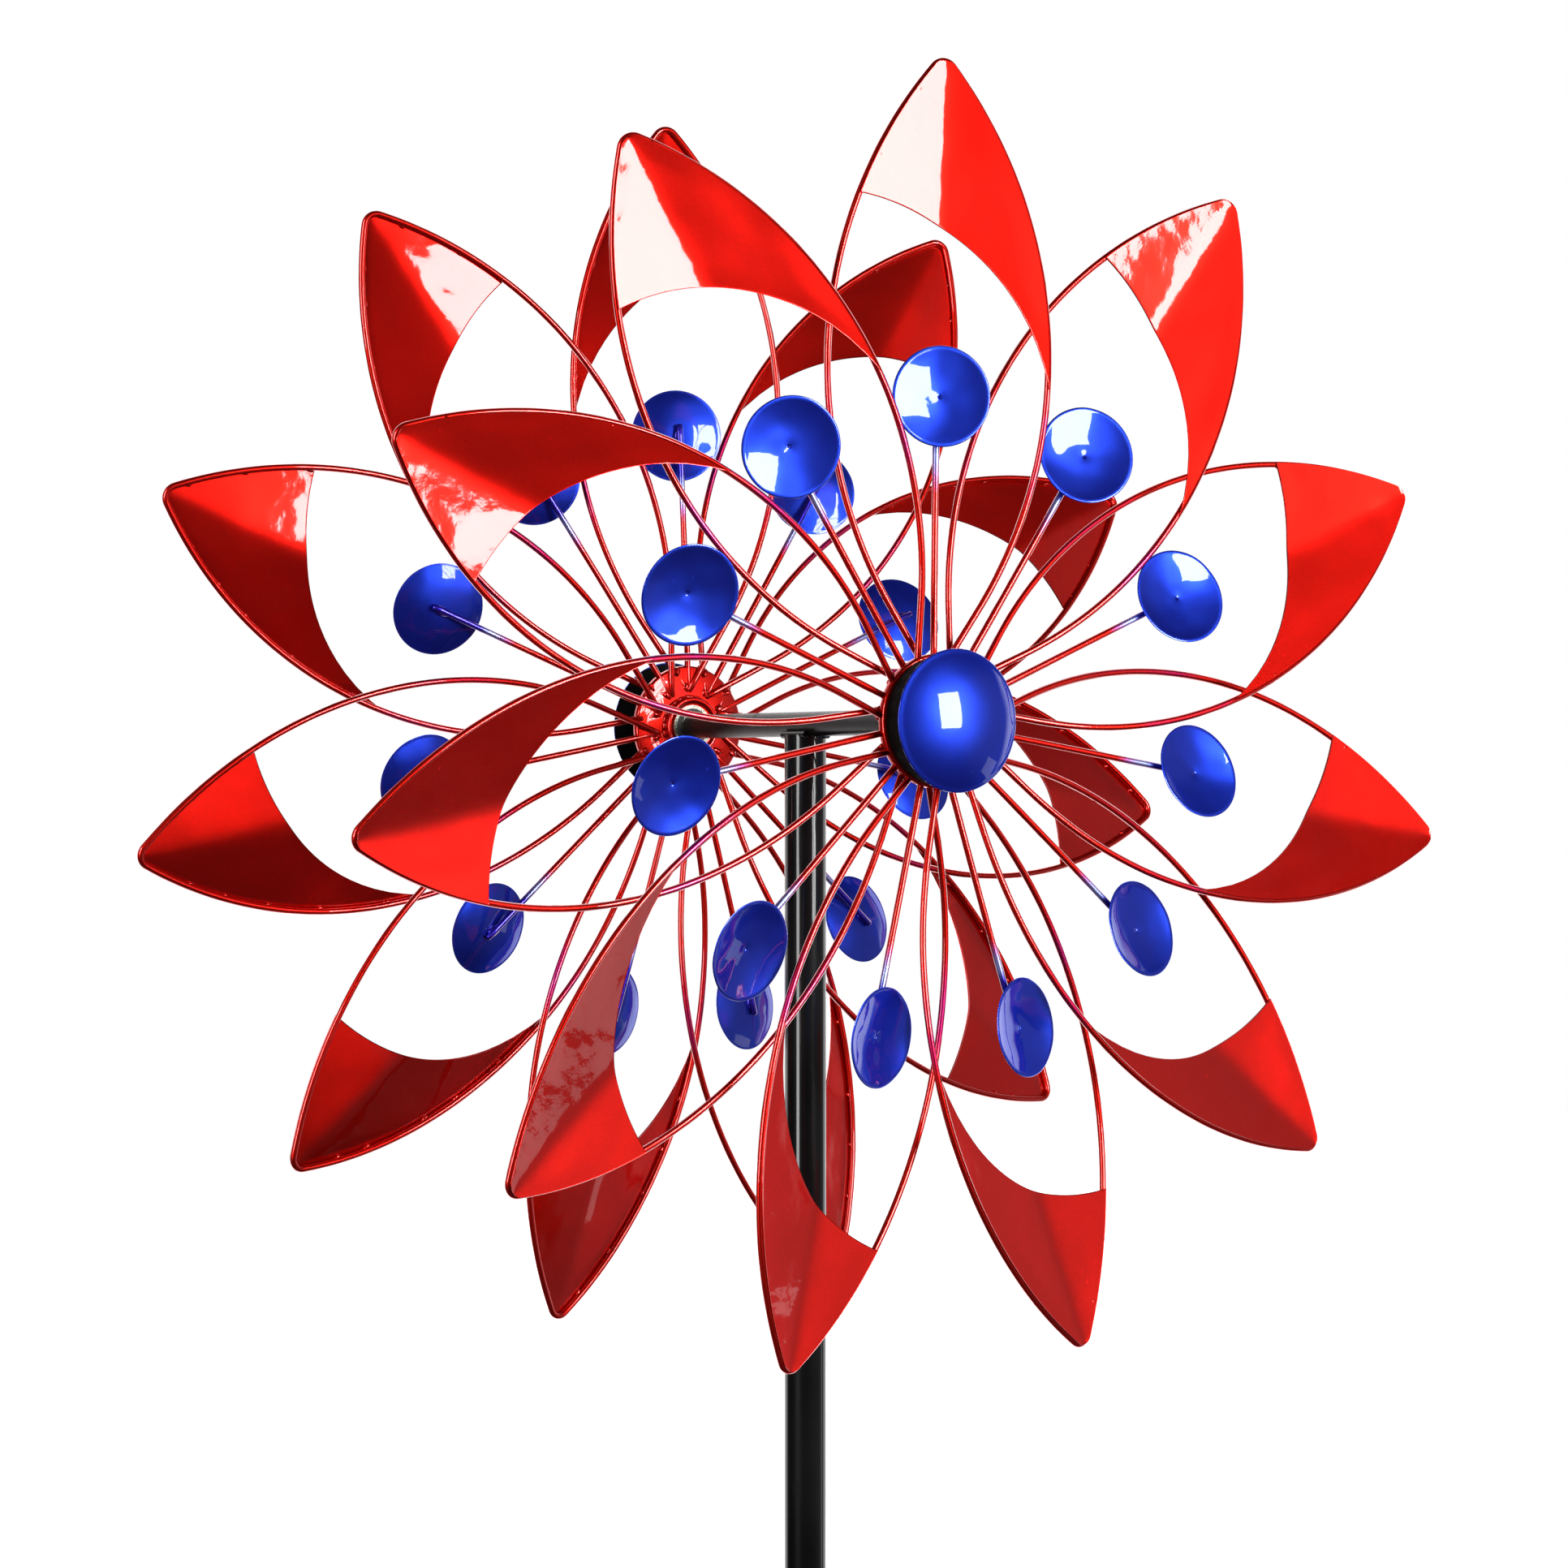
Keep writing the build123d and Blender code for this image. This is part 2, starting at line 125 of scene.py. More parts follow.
def side_y(u):
    """Half width of the lens at radius u."""
    return math.sqrt(SIDE_R**2 - (u - LENS_MID) ** 2) - CIRCLE_DROP


TIP_U = LENS_MID + math.sqrt((SIDE_R - TIP_R) ** 2 - CIRCLE_DROP**2)
TIP_TANGENT_U = LENS_MID + (TIP_U - LENS_MID) * SIDE_R / (SIDE_R - TIP_R)
ROOT_Y = side_y(STRAIGHT_U) - (STRAIGHT_U - ROOT_U) * (LENS_MID - STRAIGHT_U) / (
    side_y(STRAIGHT_U) + CIRCLE_DROP
)


def leg_y(u):
    """Half width between the straight legs at radius u."""
    return ROOT_Y + (side_y(STRAIGHT_U) - ROOT_Y) * (u - ROOT_U) / (STRAIGHT_U - ROOT_U)


def arm_angle(turn, k):
    even = turn + k * FOLD
    return even + DROOP * math.sin(math.radians(even))


def arm_matrix(side, angle, axial, slope, cone=0.0):
    """Arm frame: X along the arm, Y to the leading side, Z away from the pole."""
    s, c = math.sin(math.radians(angle)), math.cos(math.radians(angle))
    radial, clockwise, out = Vector((side * s, 0, c)), Vector((side * c, 0, -s)), Vector((0, -side, 0))
    x = (radial + out * cone).normalized()
    z = (out - clockwise * slope - radial * cone).normalized()
    y = z.cross(x)
    origin = Vector((0, -side * axial, AXLE_HEIGHT))
    return Matrix.Translation(origin) @ Matrix((x, y, z)).transposed().to_4x4()


def petal_matrix(name, k):
    return arm_matrix(SIDES[name], arm_angle(TURNS[name], k), PETAL_ROOT_AXIAL, PITCH_SLOPE, CONE_SLOPE)


def axle_matrix(name):
    """Z along the axle away from the pole, origin on the pole's axis."""
    side = SIDES[name]
    x, z = Vector((side, 0, 0)), Vector((0, -side, 0))
    return Matrix.Translation((0, 0, AXLE_HEIGHT)) @ Matrix((x, z.cross(x), z)).transposed().to_4x4()


# ---- Mesh building ----
class Shape:
    """Vertices and faces of one piece, in millimetres in the row frame."""

    def __init__(self):
        self.verts, self.faces = [], []

    def add(self, verts, faces):
        start = len(self.verts)
        self.verts += verts
        self.faces += [tuple(start + i for i in face) for face in faces]

    def rings(self, loops, closed_ends=True):
        """Skin between closed loops of equal length, with a fan over each end."""
        n = len(loops[0])
        verts = [p for loop in loops for p in loop]
        faces = []
        for r in range(len(loops) - 1):
            for i in range(n):
                j = (i + 1) % n
                faces.append((r * n + i, r * n + j, (r + 1) * n + j, (r + 1) * n + i))
        if closed_ends:
            for r, order in ((0, -1), (len(loops) - 1, 1)):
                centre = sum(loops[r], Vector()) / n
                verts.append(centre)
                hub = len(verts) - 1
                for i in range(n):
                    tri = (hub, r * n + i, r * n + (i + 1) % n)
                    faces.append(tri[::order])
        self.add(verts, faces)

    def tube(self, points, radius, sides=10, roughness=0.0):
        """Round wire along points, with slightly uneven thickness and domed ends."""
        tangents = [
            (points[min(i + 1, len(points) - 1)] - points[max(i - 1, 0)]).normalized()
            for i in range(len(points))
        ]
        across = tangents[0].orthogonal().normalized()
        loops = []
        for i, (p, t) in enumerate(zip(points, tangents)):
            across = (across - t * across.dot(t)).normalized()
            other = t.cross(across)
            r = radius * (1 + roughness * noise.noise(p * 0.11))
            loop = [
                p + (across * math.cos(a) + other * math.sin(a)) * r
                for a in (2 * math.pi * j / sides for j in range(sides))
            ]
            if i == 0:
                loops.append([p - t * radius * 0.35 + (q - p) * 0.75 for q in loop])
            loops.append(loop)
            if i == len(points) - 1:
                loops.append([p + t * radius * 0.35 + (q - p) * 0.75 for q in loop])
        self.rings(loops)

    def lathe(self, matrix, outline, sides=64, bump=0.0):
        """Turned body: outline of (radius, height) points about the matrix's Z, closed on itself."""
        loops = []
        for r, h in outline:
            loop = []
            for j in range(sides):
                a = 2 * math.pi * j / sides
                p = matrix @ Vector((r * math.cos(a), r * math.sin(a), h))
                if bump and r > 0.01:
                    p += matrix.to_3x3() @ Vector((0, 0, bump * noise.noise(p * 0.09)))
                loop.append(p)
            loops.append(loop)
        self.rings(loops, closed_ends=False)

    def blob(self, centre, axes, seed, roughness=0.18, rings=7, sides=10):
        """Lumpy bead: an ellipsoid with three half axes given as vectors."""
        shift = Vector((seed * 3.1, seed * 1.7, seed * 0.9))
        loops = []
        for i in range(rings + 1):
            lat = math.pi * (i + 0.001) / (rings + 0.002) - math.pi / 2
            loop = []
            for j in range(sides):
                lon = 2 * math.pi * j / sides
                reach = math.cos(lat)
                d = Vector((reach * math.cos(lon), reach * math.sin(lon), math.sin(lat)))
                swell = 1 + roughness * noise.noise(d * 1.9 + shift)
                loop.append(centre + (axes[0] * d.x + axes[1] * d.y + axes[2] * d.z) * swell)
            loops.append(loop)
        self.rings(loops)


def place(name, shape, body, nodes, material):
    """Makes the piece, rides it on its body and lets it stand for its CAD nodes."""
    mesh = bpy.data.meshes.new(name)
    mesh.from_pydata([p * MM for p in shape.verts], [], shape.faces)
    mesh.validate()
    mesh.update()
    mesh.shade_smooth()
    piece = bpy.data.objects.new(name, mesh)
    bpy.context.scene.collection.objects.link(piece)
    mesh.materials.append(material)
    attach(piece, body)
    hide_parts(*nodes)


# ---- Materials ----
class Nodes:
    """Short forms for building one node material."""

    def __init__(self, name):
        self.material = bpy.data.materials.new(name)
        self.material.use_nodes = True
        self.tree = self.material.node_tree
        self.shader = self.tree.nodes["Principled BSDF"]
        self.coords = self.tree.nodes.new("ShaderNodeTexCoord").outputs["Object"]

    def link(self, value, socket):
        if isinstance(value, bpy.types.NodeSocket):
            self.tree.links.new(value, socket)
        else:
            socket.default_value = value

    def new(self, kind, inputs, output=0, **settings):
        node = self.tree.nodes.new(kind)
        for key, value in settings.items():
            setattr(node, key, value)
        for key, value in inputs.items():
            self.link(value, node.inputs[key])
        return node.outputs[output]

    def noise(self, scale, detail=2.0, roughness=0.5, vector=None):
        vector = vector or self.coords
        inputs = {"Vector": vector, "Scale": scale, "Detail": detail, "Roughness": roughness}
        return self.new("ShaderNodeTexNoise", inputs)

    def math(self, operation, a, b=0.0, clamp=False):
        return self.new("ShaderNodeMath", {0: a, 1: b}, operation=operation, use_clamp=clamp)

    def span(self, value, low, high, to_low=0.0, to_high=1.0):
        """Smooth step of a value from low..high to to_low..to_high."""
        inputs = {"Value": value, 1: low, 2: high, 3: to_low, 4: to_high}
        return self.new("ShaderNodeMapRange", inputs, interpolation_type="SMOOTHSTEP")

    def blend(self, factor, a, b):
        mix = self.tree.nodes.new("ShaderNodeMix")
        mix.data_type = "RGBA"
        self.link(factor, mix.inputs[0])
        self.link(a, mix.inputs[6])
        self.link(b, mix.inputs[7])
        return mix.outputs[2]

    def bump(self, height, strength, distance, normal=None):
        inputs = {"Height": height, "Strength": strength, "Distance": distance}
        if normal:
            inputs["Normal"] = normal
        return self.new("ShaderNodeBump", inputs)

    def axle_distance(self):
        """Distance from the axle's line, in metres."""
        parts = self.new("ShaderNodeSeparateXYZ", {0: self.coords}, 0).node
        x = parts.outputs["X"]
        z = self.math("SUBTRACT", parts.outputs["Z"], AXLE_HEIGHT * MM)
        squares = [self.math("MULTIPLY", side, side) for side in (x, z)]
        return self.math("SQRT", self.math("ADD", *squares))

    def finish(self, **sockets):
        names = {
            "color": "Base Color", "metallic": "Metallic", "roughness": "Roughness",
            "normal": "Normal", "specular": "Specular IOR Level", "ior": "IOR",
            "coat": "Coat Weight", "coat_roughness": "Coat Roughness",
            "coat_normal": "Coat Normal", "coat_ior": "Coat IOR",
        }
        for key, value in sockets.items():
            self.link(value, self.shader.inputs[names[key]])
        return self.material


def rgb(r, g, b):
    return (r, g, b, 1.0)


FLAKE_SCALE, PEEL_SCALE, DENT_SCALE, SPECK_SCALE = 1600.0, 210.0, 38.0, 420.0


def metallic_paint(
    name, body_color, shade_color, glow, metallic, tint=None, waves=1.0, haze=0.03, ior=1.9
):
    """Metal flake base under a clear coat. glow is the colour of its sheen beside a highlight,
    and tint(nodes, color) may change the body colour by place."""
    n = Nodes(name)
    cloud = n.noise(9.0, 3.0)
    color = n.blend(n.span(cloud, 0.35, 0.7), body_color, shade_color)
    flake = n.new("ShaderNodeTexVoronoi", {"Vector": n.coords, "Scale": FLAKE_SCALE}, "Color")
    flake_value = n.new("ShaderNodeSeparateColor", {0: flake}, 0)
    color = n.blend(n.span(flake_value, 0.0, 1.0, 0.0, 0.12), color, rgb(0.0, 0.0, 0.0))
    if tint:
        color = tint(n, color)
    flake_normal = n.bump(flake_value, 0.025, 0.0003)
    n.shader.inputs["Specular Tint"].default_value = glow
    peel = n.noise(PEEL_SCALE, 2.0)
    dents = n.noise(DENT_SCALE, 2.0)
    coat_normal = n.bump(peel, 0.08 * waves, 0.0006, n.bump(dents, 0.14 * waves, 0.0035))
    specks = n.span(n.noise(SPECK_SCALE, 1.0), 0.74, 0.80)
    roughness = n.math("ADD", n.span(cloud, 0.3, 0.7, 0.35, 0.40), n.math("MULTIPLY", specks, 0.2))
    return n.finish(
        color=color, metallic=metallic, specular=1.0, ior=ior, roughness=roughness,
        normal=flake_normal, coat=1.0, coat_roughness=haze, coat_normal=coat_normal, coat_ior=1.36,
    )


RED, RED_SHADE = rgb(0.50, 0.005, 0.003), rgb(0.40, 0.0035, 0.002)
RED_GLOW = rgb(1.0, 0.10, 0.03)
WIRE_RED, WIRE_SHADE = rgb(0.44, 0.006, 0.004), rgb(0.34, 0.005, 0.003)
BLUE, BLUE_SHADE = rgb(0.010, 0.013, 0.33), rgb(0.010, 0.009, 0.25)
BLUE_GLOW = rgb(0.01, 0.22, 1.0)
OVERSPRAY = rgb(0.09, 0.01, 0.20)
VIOLET_DUST, BARE_SILVER = rgb(0.24, 0.10, 0.34), rgb(0.22, 0.27, 0.55)
RED_METAL, BLUE_METAL = 0.92, 0.78
GLOSS_DARK, GLOSS_LIGHT = rgb(0.0016, 0.0016, 0.0018), rgb(0.0035, 0.0035, 0.004)
SATIN_DARK, SATIN_LIGHT = rgb(0.0028, 0.002, 0.0018), rgb(0.006, 0.0045, 0.004)
DRUM_DARK, DRUM_LIGHT = rgb(0.0008, 0.0007, 0.0007), rgb(0.0016, 0.0014, 0.0014)
RUBBER_DARK, RUBBER_LIGHT = rgb(0.018, 0.018, 0.018), rgb(0.035, 0.034, 0.033)
OVERSPRAY_INNER, OVERSPRAY_OUTER = 0.105, 0.172


def overspray(n, color):
    """Blue paint drifted onto the red wires beside the discs."""
    far = n.axle_distance()
    band = n.math(
        "MULTIPLY", n.span(far, OVERSPRAY_INNER, 0.135), n.span(far, OVERSPRAY_OUTER, 0.152)
    )
    patch = n.span(n.noise(24.0, 3.0), 0.45, 0.65, 0.04, 0.40)
    return n.blend(n.math("MULTIPLY", band, patch), color, OVERSPRAY)


def spoke_fade(n, color):
    """Spokes turn from red to blue and bare silver at the disc."""
    far = n.axle_distance()
    drift = n.math("MULTIPLY", n.math("SUBTRACT", n.noise(30.0, 3.0), 0.5), 0.016)
    place_out = n.math("ADD", far, drift)
    silver = n.blend(n.span(place_out, 0.104, 0.116), color, VIOLET_DUST)
    silver = n.blend(n.span(place_out, 0.110, 0.120), silver, BARE_SILVER)
    return n.blend(n.span(place_out, 0.119, 0.128), silver, BLUE)


def black_paint(name, roughness, coat, specular, dark, light):
    n = Nodes(name)
    cloud = n.noise(14.0, 4.0)
    color = n.blend(n.span(cloud, 0.35, 0.7), dark, light)
    peel = n.bump(n.noise(320.0, 2.0), 0.03, 0.0005, n.bump(n.noise(45.0, 2.0), 0.06, 0.002))
    scuffs = n.span(n.noise(90.0, 5.0), 0.62, 0.72, 0.0, 0.12)
    rough = n.math("ADD", n.span(cloud, 0.3, 0.7, roughness * 0.85, roughness * 1.15), scuffs)
    return n.finish(
        color=color, specular=specular, roughness=rough, normal=peel,
        coat=coat, coat_roughness=0.03, coat_ior=1.45,
    )


def brushed_metal(name, light, dark, roughness):
    n = Nodes(name)
    cloud = n.noise(160.0, 4.0)
    color = n.blend(n.span(cloud, 0.35, 0.65), dark, light)
    lines = n.noise(900.0, 3.0, 0.6)
    rough = n.span(lines, 0.3, 0.7, roughness * 0.75, roughness * 1.3)
    return n.finish(
        color=color, metallic=1.0, roughness=rough, normal=n.bump(lines, 0.08, 0.0002)
    )


def rubber(name):
    n = Nodes(name)
    grain = n.noise(700.0, 3.0)
    color = n.blend(n.span(grain, 0.35, 0.65), RUBBER_DARK, RUBBER_LIGHT)
    rough = n.span(grain, 0.3, 0.7, 0.55, 0.8)
    return n.finish(color=color, roughness=rough, normal=n.bump(grain, 0.2, 0.0003))


def matte_plastic(name):
    n = Nodes(name)
    grain = n.noise(520.0, 3.0)
    color = n.blend(n.span(n.noise(20.0, 3.0), 0.35, 0.7), DRUM_DARK, DRUM_LIGHT)
    rough = n.span(grain, 0.3, 0.7, 0.7, 0.85)
    bumps = n.bump(grain, 0.15, 0.0003)
    return n.finish(color=color, specular=0.02, roughness=rough, normal=bumps)


RED_BLADE = metallic_paint("candy_red", RED, RED_SHADE, RED_GLOW, RED_METAL, haze=0.06)
RED_WIRE = metallic_paint(
    "candy_red_wire", WIRE_RED, WIRE_SHADE, RED_GLOW, RED_METAL, overspray, waves=0.25, haze=0.02
)
RED_SPOKE = metallic_paint(
    "candy_red_spoke", WIRE_RED, WIRE_SHADE, RED_GLOW, RED_METAL, spoke_fade, waves=0.25, haze=0.02
)
RED_HUB = metallic_paint("candy_red_hub", WIRE_RED, WIRE_SHADE, RED_GLOW, RED_METAL, waves=1.6)
BLUE_PAINT = metallic_paint(
    "metallic_blue", BLUE, BLUE_SHADE, BLUE_GLOW, BLUE_METAL, waves=0.5, ior=2.4
)
GLOSS_BLACK = black_paint("gloss_black", 0.34, 0.45, 0.05, GLOSS_DARK, GLOSS_LIGHT)
SATIN_BLACK = black_paint("satin_black", 0.36, 0.0, 0.32, SATIN_DARK, SATIN_LIGHT)
DRUM_BLACK = matte_plastic("black_drum")
STEEL = brushed_metal("bearing_steel", rgb(0.34, 0.35, 0.29), rgb(0.18, 0.19, 0.15), 0.3)
ZINC = brushed_metal("zinc", rgb(0.62, 0.63, 0.65), rgb(0.46, 0.47, 0.5), 0.3)
SEAL = rubber("seal_rubber")

SLOT_MATERIALS = {
    "candy_red": RED_BLADE, "metallic_blue": BLUE_PAINT, "gloss_black": GLOSS_BLACK,
    "satin_black": SATIN_BLACK, "black_drum": DRUM_BLACK, "bearing_steel": STEEL,
    "seal_rubber": SEAL, "zinc": ZINC,
}
for part in frame["record"]["subparts"]:
    cad_mesh = frame["nodes"][part["node"]].data
    cad_mesh.materials.clear()
    cad_mesh.materials.append(SLOT_MATERIALS[part["material_slot"]])


# ---- Petal wires ----
LEG_STEPS = 6
TACK_RADII = (182.0, 214.0, 243.0, 268.0, 289.0)  # tack welds between blade and wire
TACK_SCATTER = 9.0
TACK_X, TACK_Y, TACK_Z = 2.3, 1.25, 0.95  # half length, width and height of a tack weld
WIRE_UNEVEN = 0.05
WIRE_SWAY = 0.55


def lens_points(steps=64, tip_steps=10):
    """Points along one side of the lens, round the tip and back, in the petal's plane."""
    side = []
    for i in range(LEG_STEPS):
        u = WELD_U + (STRAIGHT_U - WELD_U) * i / LEG_STEPS
        side.append((u, leg_y(u)))
    for i in range(steps + 1):
        u = STRAIGHT_U + (TIP_TANGENT_U - STRAIGHT_U) * i / steps
        side.append((u, side_y(u)))
    half_turn = math.atan2(side_y(TIP_TANGENT_U), TIP_TANGENT_U - TIP_U)
    tip = []
    for i in range(1, tip_steps):
        a = half_turn * (1 - 2 * i / tip_steps)
        tip.append((TIP_U + TIP_R * math.cos(a), TIP_R * math.sin(a)))
    return side + tip + [(u, -y) for u, y in reversed(side)]


def in_blade_cut(u, y):
    """Whether a point of the petal's plane lies in the blade's round inner cut."""
    return (u - BLADE_CUT_CENTRE[0]) ** 2 + (y - BLADE_CUT_CENTRE[1]) ** 2 < BLADE_CUT_R**2


def petal_wires(name, rng):
    shape = Shape()
    for k in range(PETALS):
        m = petal_matrix(name, k)
        turn = m.to_3x3()
        lift = rng.uniform(0.0, 50.0)
        points = []
        for u, y in lens_points():
            sway = Vector((u * 0.012, y * 0.02, lift))
            z = WIRE_SWAY * noise.noise(sway) * min(1.0, (u - WELD_U) / 60.0)
            points.append(m @ Vector((u, y, z)))
        shape.tube(points, WIRE_R, roughness=WIRE_UNEVEN)
        for sign in (1, -1):
            for u in TACK_RADII:
                u = u + rng.uniform(-TACK_SCATTER, TACK_SCATTER)
                if in_blade_cut(u, sign * side_y(u)):
                    continue
                centre = m @ Vector((u, sign * (side_y(u) - TACK_Y), TACK_Z))
                size = rng.uniform(0.8, 1.15)
                axes = (
                    turn @ Vector((TACK_X * size, 0, 0)), turn @ Vector((0, TACK_Y * size, 0)),
                    turn @ Vector((0, 0, TACK_Z * size)),
                )
                shape.blob(centre, axes, rng.random() * 20)
    body = f"{name}_rotor"
    place(f"wires_{name}", shape, body, [f"petal_wires_{name}"], RED_WIRE)


# ---- Blades ----
ACROSS = [-1.0, -0.985] + [-0.95 + 1.9 * i / 30 for i in range(31)] + [0.985, 1.0]
ALONG = [0.0, 0.008] + [0.03 + 0.94 * (i / 26) for i in range(27)] + [0.985, 0.993, 0.998]
EDGE_Z = WIRE_R - 0.15
WIDE_DENT, SMALL_DENT = 0.42, 0.10


def blade_half_width(u):
    if u < TIP_TANGENT_U:
        return side_y(u) + BLADE_LAP
    reach = TIP_R + BLADE_LAP
    return math.sqrt(max(reach**2 - (u - TIP_U) ** 2, 0.0))


def blade_start(s):
    """Radius where the line at s of the half width leaves the round cut."""
    low, high = 120.0, 250.0
    for _ in range(30):
        u = (low + high) / 2
        if in_blade_cut(u, s * blade_half_width(u)):
            low = u
        else:
            high = u
    return high


def blade_surface(u, y, half):
    """Height of the sheet's lower face: two flanks falling to a soft crease."""
    soft = min(CREASE_SOFTNESS, 0.35 * half)
    rise = math.sqrt(y * y + soft * soft) - math.sqrt(half * half + soft * soft) + half
    return EDGE_Z - CREASE_SLOPE * (half - rise)


def blade(name, k, rng):
    m = petal_matrix(name, k)
    shift = Vector((rng.uniform(0, 90), rng.uniform(0, 90), rng.uniform(0, 90)))
    end = TIP_U + TIP_R + BLADE_LAP - 0.02
    lower, upper = [], []
    rows, columns = len(ALONG), len(ACROSS)
    for i, t in enumerate(ALONG):
        for j, s in enumerate(ACROSS):
            start = blade_start(s)
            u = start + (end - start) * t
            half = blade_half_width(u)
            y = s * half
            inner = min(1.0, (1 - abs(s)) * half / 9.0) * min(1.0, 0.25 + t * 6)
            dent = WIDE_DENT * noise.noise(Vector((u, y, 0)) * 0.028 + shift)
            dent += SMALL_DENT * noise.noise(Vector((u, y, 0)) * 0.085 + shift)
            z = blade_surface(u, y, half) + dent * inner
            lower.append(m @ Vector((u, y, z)))
            upper.append(m @ Vector((u, y, z + SHEET_T)))
    shape = Shape()
    grid = []
    for i in range(rows - 1):
        for j in range(columns - 1):
            a = i * columns + j
            grid.append((a, a + columns, a + columns + 1, a + 1))
    count = rows * columns
    faces = [tuple(reversed(q)) for q in grid] + [tuple(count + v for v in q) for q in grid]
    border = list(range(columns)) + [i * columns + columns - 1 for i in range(1, rows)]
    border += [(rows - 1) * columns + j for j in range(columns - 2, -1, -1)]
    border += [i * columns for i in range(rows - 2, 0, -1)]
    verts = lower + upper
    normal = m.to_3x3() @ Vector((0, 0, 1))
    n = len(border)
    for index in range(n):
        before, after = lower[border[index - 1]], lower[border[(index + 1) % n]]
        outwards = (after - before).cross(normal)
        outwards = outwards.normalized() if outwards.length > 1e-6 else Vector()
        verts.append((lower[border[index]] + upper[border[index]]) / 2 + outwards * 0.25)
    for index in range(n):
        nxt = (index + 1) % n
        a, b = border[index], border[nxt]
        e, f = 2 * count + index, 2 * count + nxt
        faces += [(a, b, f, e), (e, f, count + b, count + a)]
    shape.add(verts, faces)
    place(
        f"petal_blade_{name}_{k + 1:02d}", shape, f"{name}_rotor", [f"blade_{name}_{k + 1:02d}"],
        RED_BLADE,
    )


# ---- Spokes and discs ----
SPOKE_ANGLE = math.degrees(math.asin(DISC_SIDE / DISC_U))
SPOKE_SLOPE = (DISC_AXIAL - WIRE_R - SPOKE_GAP - SPOKE_ROOT_AXIAL) / (DISC_U - SPOKE_ROOT_U)


def spokes(name, rng):
    shape = Shape()
    for k in range(PETALS):
        m = arm_matrix(SIDES[name], arm_angle(TURNS[name], k) - SPOKE_ANGLE, 0, 0)
        turn = m.to_3x3()
        bow = rng.uniform(-0.5, 0.5)
        points = []
        steps = 24
        for i in range(steps + 1):
            f = i / steps
            u = SPOKE_ROOT_U + (DISC_U + SPOKE_OVERRUN - SPOKE_ROOT_U) * f
            z = SPOKE_ROOT_AXIAL + SPOKE_SLOPE * (u - SPOKE_ROOT_U)
            points.append(m @ Vector((u, bow * math.sin(math.pi * f), z)))
        shape.tube(points, WIRE_R, roughness=WIRE_UNEVEN)
        weld = m @ Vector((DISC_U, 0, DISC_AXIAL - SPOKE_GAP - 0.55))
        axes = (turn @ Vector((4.2, 0, 0)), turn @ Vector((0, 2.4, 0)), turn @ Vector((0, 0, 1.1)))
        shape.blob(weld, axes, k + 0.37, 0.2)
    place(f"spoke_rods_{name}", shape, f"{name}_rotor", [f"spokes_{name}"], RED_SPOKE)


def cap_outline(rim_r, rise, thickness, steps=22, roll=0.7):
    """Closed half section of a pressed cap with a rolled rim."""
    ball_r = (rim_r**2 + rise**2) / (2 * rise)
    inner_r = ball_r - thickness

    def height(r, radius):
        return math.sqrt(radius**2 - r**2) - (ball_r - rise)

    top = []
    for i in range(steps + 1):
        r = 0.02 + (rim_r - roll * 2) * (i / steps)
        top.append((r, height(r, ball_r)))
    edge_h = top[-1][1]
    rim = [
        (rim_r - roll * 0.9, edge_h - 0.22), (rim_r - roll * 0.25, edge_h - 0.5),
        (rim_r, edge_h - 0.85), (rim_r - roll * 0.3, 0.02), (rim_r - roll * 1.1, 0.0),
    ]
    low = []
    for i in range(steps, -1, -1):
        r = 0.02 + (rim_r - roll * 3) * (i / steps)
        low.append((r, height(r, inner_r)))
    outline = top + rim + low
    return outline + [outline[0]]


def dish_outline(steps=16):
    """Closed half section of a shallow dish standing on its back, with a softly turned edge."""
    ball_r = (DISC_R**2 + DISC_DEPTH**2) / (2 * DISC_DEPTH)

    def hollow(r, radius):
        return radius - math.sqrt(radius**2 - r**2)

    back = []
    for i in range(steps + 1):
        r = 0.02 + (DISC_R - 0.35) * i / steps
        back.append((r, hollow(r, ball_r)))
    lip = [
        (DISC_R - 0.08, DISC_DEPTH - 0.12), (DISC_R, DISC_DEPTH),
        (DISC_R - 0.22, DISC_DEPTH + 0.16),
    ]
    front = []
    for i in range(steps, -1, -1):
        r = 0.02 + (DISC_R - 0.75) * i / steps
        dimple = 0.3 * math.exp(-(r / 2.2) ** 2)
        front.append((r, hollow(r, ball_r) + SHEET_T - 0.25 * (r / DISC_R) ** 2 - dimple))
    outline = back + lip + front
    return outline + [outline[0]]


def discs(name, rng):
    side = SIDES[name]
    outline = dish_outline()
    shape = Shape()
    for k in range(PETALS):
        angle = arm_angle(TURNS[name], k) - SPOKE_ANGLE
        centre = arm_matrix(side, angle, DISC_AXIAL, 0) @ Vector((DISC_U, 0, 0))
        tilted = arm_matrix(side, angle, 0, DISC_SLOPE)
        lean = Matrix.Rotation(math.radians(rng.uniform(-1.2, 1.2)), 3, "X")
        m = Matrix.Translation(centre) @ (tilted.to_3x3() @ lean).to_4x4()
        shape.lathe(m, outline, sides=64, bump=0.3)
    place(f"discs_set_{name}", shape, f"{name}_rotor", [f"discs_{name}"], BLUE_PAINT)


# ---- Hub ----
WELD_RADII = ((20.5, 2.0), (28.6, 2.4))  # place and half length of the welds on each wire
COLLAR_BEADS = 26
HUB_SIDES = 72


